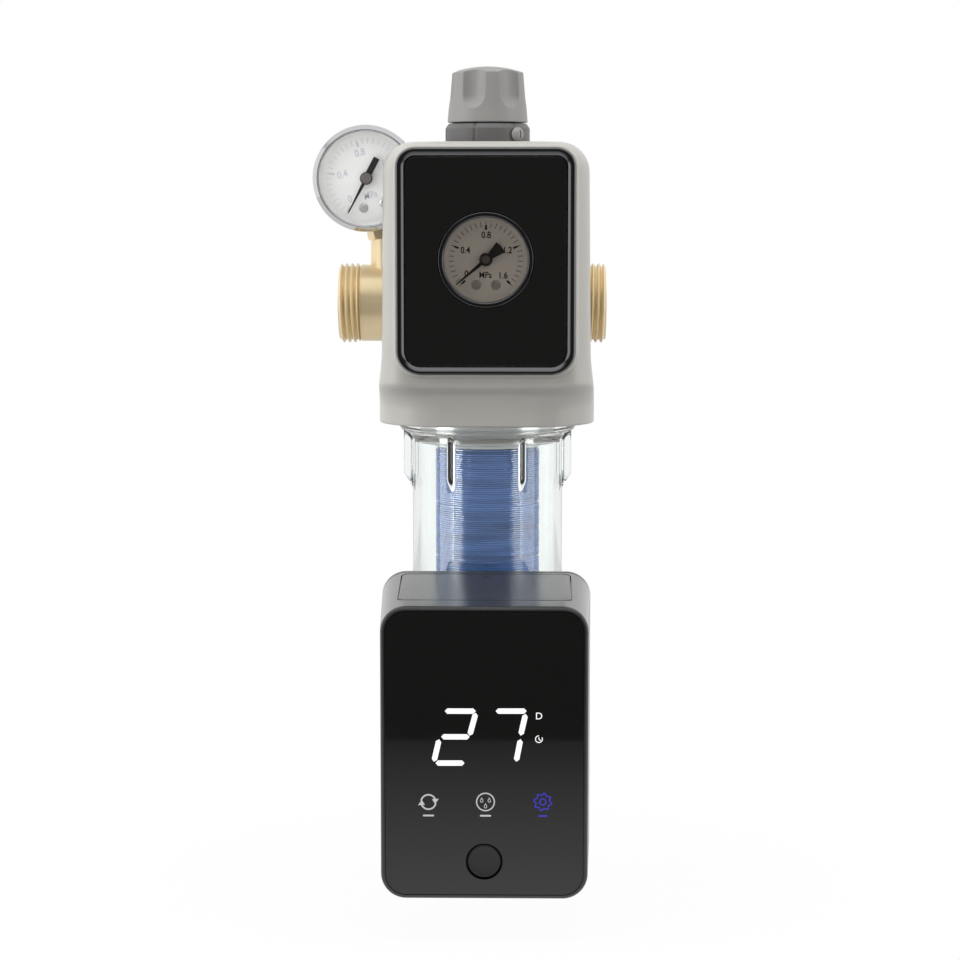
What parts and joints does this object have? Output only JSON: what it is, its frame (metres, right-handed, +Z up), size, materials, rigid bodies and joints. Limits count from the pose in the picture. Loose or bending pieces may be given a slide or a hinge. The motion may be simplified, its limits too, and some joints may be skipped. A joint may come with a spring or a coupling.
{
  "type": "self cleaning water filter",
  "caption": "Self flushing water filter: threaded brass head in a grey housing with dial gauges and a pressure knob, a clear ribbed bowl over a disc filter and a battery flush controller.",
  "frame": {"origin": "where the pipe axis meets the bowl's axis, inside the brass head", "axes": "+X along the pipe, from the inlet at the left to the outlet; -Y is the front with the gauge panel and the display; +Z up along the bowl and knob axis"},
  "size_m": [0.1218, 0.1307, 0.3462],
  "materials": {
    "brass": "machined, lightly polished",
    "steel": "satin",
    "chrome": "polished",
    "housing_grey": "satin moulded",
    "knob_grey": "satin moulded",
    "bonnet_grey": "fine matt",
    "gloss_black": "high gloss",
    "case_black": "brushed look, satin",
    "clear_plastic": "clear, moulded",
    "gauge_glass": "polished",
    "dial_white": "matt white",
    "needle_black": "matt black",
    "filter_blue": "grooved discs",
    "pale_plastic": "satin",
    "rubber_black": "matt",
    "board_green": "satin",
    "cell_wrap": "plain wrap"
  },
  "bodies": {
    "filter": {"head_body": "brass", "front_cover": "housing_grey", "rear_cover": "housing_grey", "panel_bezel": "chrome", "front_panel": "gloss_black", "rear_cover_screw_1": "steel", "rear_cover_screw_2": "steel", "rear_cover_screw_3": "steel", "rear_cover_screw_4": "steel", "bonnet": "bonnet_grey", "diaphragm": "rubber_black", "diaphragm_plate": "brass", "reducer_cartridge": "brass", "bonnet_lock_screw": "bonnet_grey", "range_spring": "steel", "outlet_gauge_case": "steel", "outlet_gauge_ring": "chrome", "outlet_gauge_window": "gauge_glass", "outlet_gauge_dial": "dial_white", "outlet_gauge_stem": "brass", "inlet_gauge_case": "chrome", "inlet_gauge_ring": "chrome", "inlet_gauge_window": "gauge_glass", "inlet_gauge_dial": "dial_white", "inlet_gauge_stem": "brass", "bowl": "clear_plastic", "bowl_o_ring": "rubber_black", "filter_top_cap": "pale_plastic", "filter_discs": "filter_blue", "filter_bottom_cap": "pale_plastic", "valve_body": "brass", "ball_seat_upper": "pale_plastic", "ball_seat_lower": "pale_plastic", "drain_spout": "bonnet_grey", "stem_seal": "pale_plastic", "gearmotor": "steel", "drive_plate": "steel", "controller_front_shell": "case_black", "controller_rear_shell": "case_black", "flange_screw_1": "steel", "flange_screw_2": "steel", "display_panel": "gloss_black", "circuit_board": "board_green", "display_module": "needle_black", "battery_tray": "bonnet_grey", "battery_1": "cell_wrap", "battery_2": "cell_wrap", "battery_3": "cell_wrap", "battery_4": "cell_wrap"},
    "knob": {"pressure_knob": "knob_grey", "adjusting_screw": "steel"},
    "spring_follower": {"spring_plate": "brass"},
    "outlet_pointer": {"outlet_gauge_needle": "needle_black"},
    "inlet_pointer": {"inlet_gauge_needle": "needle_black"},
    "button": {"push_button": "case_black"},
    "battery_lid": {"battery_cover": "case_black"},
    "ball_valve": {"valve_ball": "steel", "valve_stem": "steel", "output_gear": "pale_plastic"},
    "pinion": {"motor_pinion": "pale_plastic"}
  },
  "joints": [
    {"name": "knob_turn", "type": "hinge", "parent": "filter", "child": "knob", "pos_m": [0, 0, 0.08], "axis": [0, 0, 1], "range_deg": [-480, 480]},
    {"name": "spring_plate_slide", "type": "slide", "parent": "filter", "child": "spring_follower", "axis": [0, 0, 1], "range_m": [-0.0021, 0.0021], "deforming": ["range_spring"]},
    {"name": "outlet_pointer_turn", "type": "hinge", "parent": "filter", "child": "outlet_pointer", "pos_m": [0, -0.0549, 0.01935], "axis": [0, 1, 0], "range_deg": [0, 265], "stiffness_Nm_per_rad": 0.0004, "springref_deg": -17.19},
    {"name": "inlet_pointer_turn", "type": "hinge", "parent": "filter", "child": "inlet_pointer", "pos_m": [-0.0503, -0.014, 0.0519], "axis": [0, 1, 0], "range_deg": [0, 270], "stiffness_Nm_per_rad": 0.0004, "springref_deg": -17.19},
    {"name": "button_press", "type": "slide", "parent": "filter", "child": "button", "axis": [0, 1, 0], "range_m": [0, 0.001], "stiffness_N_per_m": 400, "springref_m": -0.0005},
    {"name": "battery_lid_lift", "type": "slide", "parent": "filter", "child": "battery_lid", "axis": [0, 0, 1], "range_m": [0, 0.03]},
    {"name": "valve_turn", "type": "hinge", "parent": "filter", "child": "ball_valve", "pos_m": [0, 0, -0.193], "axis": [0, 1, 0], "range_deg": [0, 90]},
    {"name": "pinion_turn", "type": "hinge", "parent": "filter", "child": "pinion", "pos_m": [0.0214, 0, -0.193], "axis": [0, 1, 0], "range_deg": [-218, 2]}
  ],
  "couplings": [
    {"joint": "spring_plate_slide", "follows": "knob_turn", "m_per_rad": 0.00023873},
    {"joint": "pinion_turn", "follows": "valve_turn", "ratio": -2.4}
  ]
}
